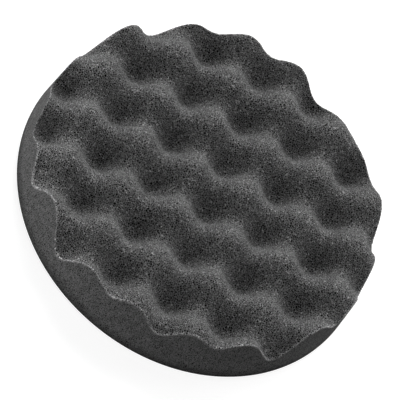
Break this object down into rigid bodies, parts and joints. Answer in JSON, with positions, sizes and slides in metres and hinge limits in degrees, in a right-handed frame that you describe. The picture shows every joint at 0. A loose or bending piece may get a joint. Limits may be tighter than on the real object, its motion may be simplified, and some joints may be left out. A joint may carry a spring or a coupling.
{
  "type": "polishing pad",
  "caption": "Round dark foam polishing pad with a waffle-cut working face, a smooth tapered wall and a flat hook-and-loop back.",
  "frame": {"origin": "centre of the loop face, which is the face the pad lies on", "axes": "+Z along the disc's axis, out of the waffle face; +X along one set of waffle rows and +Y across it"},
  "size_m": [0.2032, 0.2032, 0.0406],
  "materials": {
    "foam": "open-cell polyurethane foam, near black, matte, coarse cut cells on the waffle and finer ones on the wall",
    "bond_film": "thin cloudy hot-melt film, satin",
    "backing_cloth": "tight black warp-knit nylon, slightly glossy yarn",
    "loop_pile": "brushed loops of fine black nylon, soft sheen"
  },
  "bodies": {
    "root": {"waffle_foam_disc": "foam", "hot_melt_film": "bond_film", "loop_backing_cloth": "backing_cloth", "loop_pile": "loop_pile"}
  },
  "joints": []
}
